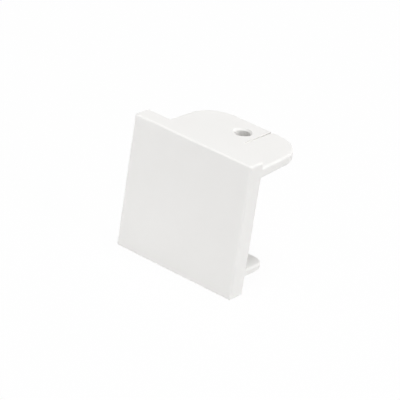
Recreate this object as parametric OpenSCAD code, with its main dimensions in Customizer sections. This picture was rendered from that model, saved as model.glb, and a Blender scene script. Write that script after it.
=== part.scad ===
// Rail end cap, moulded as one piece: a front plate that closes the end of a rail,
// an upper tongue with a screw hole and a shorter lower lug that slide into the rail.
// X runs across the rail, Y from the plate into the rail and Z up, in millimetres.
// The plate's rear face, which seats on the rail, lies in the plane Y = 0.

/* [Plate] */
// Width of the plate across the rail
plate_w = 36; // [30:0.5:50]
// Height of the plate
plate_h = 36; // [30:0.5:50]
// Thickness of the plate from its front face to the rear seat
plate_t = 4.6; // [3:0.1:8]
// Radius of the plate's four corners, seen from the front
plate_corner_r = 0.6; // [0.6:0.1:3]
// Radius of the rounded rim round the plate's front face
plate_rim_r = 0.5; // [0.2:0.1:0.5]
// Border of the plate beside the tongue and the lug, which seats on the rail's side walls
border = 2; // [1:0.1:4]

/* [Tongue] */
// Drop from the top of the plate to the tongue's upper face
tongue_drop = 3.5; // [2:0.1:8]
// Thickness of the tongue
tongue_t = 2.8; // [2:0.1:4]
// Reach of the tongue behind the plate's rear face
tongue_len = 22.4; // [20:0.2:40]
// Angle in degrees by which each side of the tongue leans in towards the rear edge
tongue_lean = 3.3; // [0:0.1:5]
// Radius of the tongue's two rear corners
tongue_corner_r = 8.5; // [3:0.5:12]

/* [Screw hole] */
// Diameter of the screw hole through the tongue
hole_d = 4; // [3:0.1:5.6]
// Distance of the hole's axis behind the plate's rear face
hole_y = 16; // [8:0.2:19]
// Width of the bevel round the hole's upper rim
hole_bevel = 0.5; // [0.1:0.1:0.6]

/* [Lower lug] */
// Rise from the bottom of the plate to the lug's underside
lug_rise = 3.1; // [1:0.1:6]
// Thickness of the lug
lug_t = 2; // [1.7:0.1:4]
// Reach of the lug behind the plate's rear face
lug_len = 11.1; // [8:0.1:18]
// Radius of the lug's two rear corners
lug_corner_r = 3; // [2:0.5:6]

/* [Edges] */
// Radius of the rounding along the edges of the tongue and the lug
edge_r = 0.6; // [0.1:0.1:0.8]

/* [Mould line] */
// Distance of the fine mould line from the tongue's centre line
mould_line_x = 4.6; // [4:0.1:6]
// Width of the mould line
mould_line_w = 0.8; // [0.2:0.1:1.2]
// Depth of the mould line at the tongue's rear edge, where it is deepest
mould_line_depth = 0.5; // [0.1:0.05:0.7]
// Depth of the mould line at its front end, where it is shallowest
mould_line_end_depth = 0.15; // [0.05:0.05:0.3]
// Length of the mould line along the tongue
mould_line_len = 11.5; // [4:0.5:16]

/* [Hidden] */
// How far the tongue and the lug run into the plate
root = 2;
// Extra length of each cutter past the face that it opens
past = 1;
// Width of the tongue and the lug at the plate, and the heights of their undersides
insert_w = plate_w - 2 * border;
tongue_z = plate_h / 2 - tongue_drop - tongue_t;
lug_z = -plate_h / 2 + lug_rise;
// Slope of the mould line's floor
mould_line_slope = atan((mould_line_depth - mould_line_end_depth) / mould_line_len);
// Fineness of the curves
$fn = 64;

// Waste outside a rounded corner of radius r, with the corner itself at the origin.
module corner_waste(r) {
    translate([-r, -r])
        difference() {
            square(r + past);
            circle(r);
        }
}

// Section through the plate's border: reach outwards along X, thickness along Y,
// with the outer front edge rounded.
module rim_section() {
    difference() {
        square([plate_corner_r, plate_t]);
        translate([plate_corner_r, plate_t])
            corner_waste(plate_rim_r);
    }
}

// Section through the border of half a flat tongue, with the outer edge rounded.
module edge_section(reach, thick) {
    difference() {
        square([reach, thick]);
        translate([reach, 0])
            mirror([0, 1])
                corner_waste(edge_r);
    }
}

// The front plate, drawn lying on its rear face and then stood up.
module plate() {
    inner_w = plate_w - 2 * plate_corner_r;
    inner_h = plate_h - 2 * plate_corner_r;
    rotate([90, 0, 0]) {
        translate([-inner_w / 2, -inner_h / 2, 0])
            cube([inner_w, inner_h, plate_t]);
        for (turn = [0, 180])
            rotate([0, 0, turn]) {
                translate([inner_w / 2, inner_h / 2, 0])
                    rotate([90, 0, 0])
                        linear_extrude(inner_h)
                            rim_section();
                translate([-inner_w / 2, inner_h / 2, 0])
                    rotate([90, 0, 90])
                        linear_extrude(inner_w)
                            rim_section();
                translate([inner_w / 2, inner_h / 2, 0])
                    rotate_extrude(angle = 90)
                        rim_section();
                translate([-inner_w / 2, inner_h / 2, 0])
                    rotate([0, 0, 90])
                        rotate_extrude(angle = 90)
                            rim_section();
            }
    }
}

// The lower half of a flat tongue that runs back from the plate, with rounded rear corners.
// Its sides lean in by the angle lean and end on the corners' quarter arcs. An arc that
// meets a leaning side runs on inside the tongue, so that the two cross cleanly.
module half_tongue(width, reach, thick, corner_r, lean) {
    centre_y = reach - corner_r;
    side_x = width / 2 - centre_y * tan(lean);
    centre_x = side_x - corner_r;
    run_on = lean > 0 ? 90 : 0;
    linear_extrude(thick)
        polygon([
            [-width / 2 + corner_r / 2, -root],
            [width / 2 - corner_r / 2, -root],
            [side_x - corner_r / 2, centre_y],
            [centre_x, reach - corner_r / 2],
            [-centre_x, reach - corner_r / 2],
            [-side_x + corner_r / 2, centre_y]
        ]);
    for (side = [0, 1])
        mirror([side, 0, 0])
            translate([centre_x, centre_y, 0]) {
                rotate([90, 0, lean])
                    linear_extrude((centre_y + root) / cos(lean))
                        edge_section(corner_r * cos(lean), thick);
                rotate([0, 0, -run_on])
                    rotate_extrude(angle = 90 + run_on)
                        edge_section(corner_r, thick);
                mirror([1, 0, 0])
                    rotate([90, 0, 90])
                        linear_extrude(centre_x)
                            edge_section(corner_r, thick);
            }
}

// A flat tongue with rounded edges: two mirrored halves, which overlap at mid-thickness.
module flat_tongue(width, reach, thick, corner_r, lean) {
    for (half = [0, 1])
        translate([0, 0, half * thick])
            mirror([0, 0, half])
                half_tongue(width, reach, 0.6 * thick, corner_r, lean);
}

// The screw hole and the bevel round its upper rim.
module screw_hole() {
    translate([0, hole_y, -past])
        cylinder(d = hole_d, h = tongue_t + 2 * past);
    translate([0, hole_y, tongue_t - hole_bevel])
        cylinder(d1 = hole_d, d2 = hole_d + 2 * hole_bevel, h = hole_bevel);
}

// The fine mould line, a groove that is deepest at the tongue's rear edge.
module mould_line() {
    translate([mould_line_x - mould_line_w / 2, tongue_len - mould_line_len, tongue_t - mould_line_end_depth])
        rotate([-mould_line_slope, 0, 0])
            cube([mould_line_w, mould_line_len + past, past]);
}

module upper_tongue() {
    translate([0, 0, tongue_z])
        difference() {
            flat_tongue(insert_w, tongue_len, tongue_t, tongue_corner_r, tongue_lean);
            screw_hole();
            mould_line();
        }
}

module lower_lug() {
    translate([0, 0, lug_z])
        flat_tongue(insert_w, lug_len, lug_t, lug_corner_r, 0);
}

// The whole cap, one moulding in white plastic.
module end_cap() {
    color([0.90, 0.90, 0.89]) {
        plate();
        upper_tongue();
        lower_lug();
    }
}

end_cap();
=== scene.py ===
import math

import bpy
from mathutils import Matrix, Vector


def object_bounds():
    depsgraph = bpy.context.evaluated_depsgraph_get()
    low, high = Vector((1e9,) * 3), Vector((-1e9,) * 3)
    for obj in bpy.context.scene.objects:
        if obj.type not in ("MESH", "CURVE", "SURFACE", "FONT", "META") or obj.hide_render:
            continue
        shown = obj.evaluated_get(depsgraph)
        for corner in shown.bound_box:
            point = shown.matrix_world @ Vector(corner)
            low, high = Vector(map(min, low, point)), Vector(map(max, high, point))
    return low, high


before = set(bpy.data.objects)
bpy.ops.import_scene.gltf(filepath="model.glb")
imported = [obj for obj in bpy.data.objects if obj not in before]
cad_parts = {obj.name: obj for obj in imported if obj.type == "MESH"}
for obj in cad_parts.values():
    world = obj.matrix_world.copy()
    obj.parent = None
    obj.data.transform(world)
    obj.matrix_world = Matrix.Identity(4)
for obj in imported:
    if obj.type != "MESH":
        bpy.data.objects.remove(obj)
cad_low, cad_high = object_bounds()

# The end cap is one injection moulding: a plate that closes the rail's end, with a
# tongue and a lug behind it that slide into the rail. The solid has its true form, so
# it stays as the visible piece and gets the finish of the real moulding here.
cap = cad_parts["end_cap"]


def linear(hex_colour):
    """The sRGB hex colour as a linear RGBA value."""
    channels = [int(hex_colour[i:i + 2], 16) / 255 for i in (1, 3, 5)]
    return [c / 12.92 if c <= 0.04045 else ((c + 0.055) / 1.055) ** 2.4 for c in channels] + [1.0]


def add_node(tree, kind, inputs=None, **settings):
    """Adds a node with its settings, and gives each input its value or links it to a socket."""
    node = tree.nodes.new(kind)
    for name, value in settings.items():
        setattr(node, name, value)
    for name, value in (inputs or {}).items():
        if isinstance(value, bpy.types.NodeSocket):
            tree.links.new(value, node.inputs[name])
        else:
            node.inputs[name].default_value = value
    return node


# White ABS, moulded in a finely spark-eroded tool: a satin, slightly warm white with a
# soft broad sheen, a fine even grain and the faint waviness of a thick moulded wall.
moulded_abs = bpy.data.materials.new("white_abs_satin_moulded")
moulded_abs.use_nodes = True
tree = moulded_abs.node_tree
tree.nodes.clear()
place = add_node(tree, "ShaderNodeTexCoord").outputs["Object"]
# The tool's grain is about 0.05 mm wide, too fine to show here, so it is drawn coarser.
grain_mm, wave_mm, cloud_mm = 0.45, 9.0, 14.0
grain = add_node(tree, "ShaderNodeTexNoise", {
    "Vector": place, "Scale": 1000 / grain_mm, "Detail": 2.0, "Roughness": 0.55}).outputs["Fac"]
wave = add_node(tree, "ShaderNodeTexNoise", {
    "Vector": place, "Scale": 1000 / wave_mm, "Detail": 1.0}).outputs["Fac"]
cloud = add_node(tree, "ShaderNodeTexNoise", {
    "Vector": place, "Scale": 1000 / cloud_mm, "Detail": 3.0}).outputs["Fac"]
tone = add_node(tree, "ShaderNodeMix", {
    "Factor": cloud, "A": linear("#ebeae8"), "B": linear("#eeedeb")}, data_type="RGBA")
smoothest, roughest = 0.50, 0.62
sheen = add_node(tree, "ShaderNodeMapRange", {
    "Value": grain, "To Min": smoothest, "To Max": roughest})
wave_depth, grain_depth = 0.0004, 0.0001
swell = add_node(tree, "ShaderNodeBump", {
    "Height": wave, "Strength": 0.05, "Distance": wave_depth})
pits = add_node(tree, "ShaderNodeBump", {
    "Height": grain, "Normal": swell.outputs["Normal"], "Strength": 0.06, "Distance": grain_depth})
abs_ior = 1.53
surface = add_node(tree, "ShaderNodeBsdfPrincipled", {
    "Base Color": tone.outputs["Result"], "Roughness": sheen.outputs["Result"],
    "Normal": pits.outputs["Normal"], "IOR": abs_ior})
add_node(tree, "ShaderNodeOutputMaterial", {"Surface": surface.outputs["BSDF"]})
cap.data.materials.clear()
cap.data.materials.append(moulded_abs)

# The floor is a plain white sweep of matt card that the cap stands on. It takes the
# cap's soft shadow, and shows as the white ground of a catalogue photograph.
half_floor = 0.8
floor_corners = [(x * half_floor, y * half_floor, cad_low.z)
                 for x, y in ((-1, -1), (1, -1), (1, 1), (-1, 1))]
floor_mesh = bpy.data.meshes.new("floor")
floor_mesh.from_pydata(floor_corners, [], [(0, 1, 2, 3)])
floor = bpy.data.objects.new("floor", floor_mesh)
bpy.context.scene.collection.objects.link(floor)


def seen_directly(tree):
    """1 for rays that show the ground itself, and 0 for those that carry its light to the cap."""
    rays = add_node(tree, "ShaderNodeLightPath").outputs
    seen = add_node(tree, "ShaderNodeMath", {
        0: rays["Is Camera Ray"], 1: rays["Is Glossy Ray"]}, operation="MAXIMUM")
    seen = add_node(tree, "ShaderNodeMath", {
        0: seen.outputs[0], 1: rays["Is Transmission Ray"]}, operation="MAXIMUM")
    return seen.outputs[0]


# White card with a matt, unprinted face: it scatters light evenly, and as the ground of
# the picture it is almost pure white, with just enough of its own shade for a shadow.
card = bpy.data.materials.new("white_card_matt")
card.use_nodes = True
tree = card.node_tree
tree.nodes.clear()
white_share = 0.97
share = add_node(tree, "ShaderNodeMath", {
    0: seen_directly(tree), 1: white_share}, operation="MULTIPLY")
paper = add_node(tree, "ShaderNodeBsdfDiffuse", {"Color": linear("#e7e7e7")})
glow = add_node(tree, "ShaderNodeEmission", {"Color": linear("#ffffff"), "Strength": 1.0})
blend = add_node(tree, "ShaderNodeMixShader", {
    0: share.outputs[0], 1: paper.outputs[0], 2: glow.outputs[0]})
add_node(tree, "ShaderNodeOutputMaterial", {"Surface": blend.outputs[0]})
floor_mesh.materials.append(card)

# The light is a white tent: an even glow from all round and a large soft lamp overhead.
# A small low lamp on the left lights the plate's front, one on the right lights the
# sides, and a weak one behind lights the rear.
world = bpy.data.worlds.new("white_tent")
bpy.context.scene.world = world
world.use_nodes = True
tree = world.node_tree
tree.nodes.clear()
tent_glow, tent_white = 0.267, 1.0
level = add_node(tree, "ShaderNodeMapRange", {
    "Value": seen_directly(tree), "To Min": tent_glow, "To Max": tent_white})
tent = add_node(tree, "ShaderNodeBackground", {
    "Color": linear("#ffffff"), "Strength": level.outputs["Result"]})
add_node(tree, "ShaderNodeOutputWorld", {"Surface": tent.outputs[0]})

for name, direction, distance, size, power in (
        ("overhead", (0.065, 0.02, 1.0), 0.85, 0.35, 4.55),
        ("left_front", (-0.45, -0.85, 0.04), 0.5, 0.08, 0.905),
        ("right", (0.95, -0.08, 0.3), 0.85, 0.2, 2.8),
        ("back", (0.05, 0.8, 0.6), 0.85, 0.3, 0.27)):
    lamp_data = bpy.data.lights.new(name, "AREA")
    lamp_data.shape = "DISK"
    lamp_data.size = size
    lamp_data.energy = power
    lamp = bpy.data.objects.new(name, lamp_data)
    bpy.context.scene.collection.objects.link(lamp)
    lamp.location = Vector(direction).normalized() * distance
    lamp.rotation_mode = "QUATERNION"
    lamp.rotation_quaternion = (-lamp.location).to_track_quat("-Z", "Y")

# The camera looks down on the cap's front from its right, with a long lens, as the
# photograph does. It is rolled a little, so that the cap leans to the right in the picture.
camera_data = bpy.data.cameras.new("camera")
camera_data.sensor_width = 36.0
camera_data.lens = 237.66
camera_data.clip_start, camera_data.clip_end = 0.01, 5.0
camera = bpy.data.objects.new("camera", camera_data)
bpy.context.scene.collection.objects.link(camera)
bpy.context.scene.camera = camera
stand = (0.329777, -0.473604, 0.279686)
azimuth, elevation, roll = math.radians(34.715), math.radians(25.795), math.radians(8.847)
turn = (Matrix.Rotation(azimuth, 3, "Z") @ Matrix.Rotation(math.pi / 2 - elevation, 3, "X")
        @ Matrix.Rotation(roll, 3, "Z"))
camera.matrix_world = Matrix.Translation(stand) @ turn.to_4x4()
bpy.context.scene.view_settings.view_transform = "Standard"
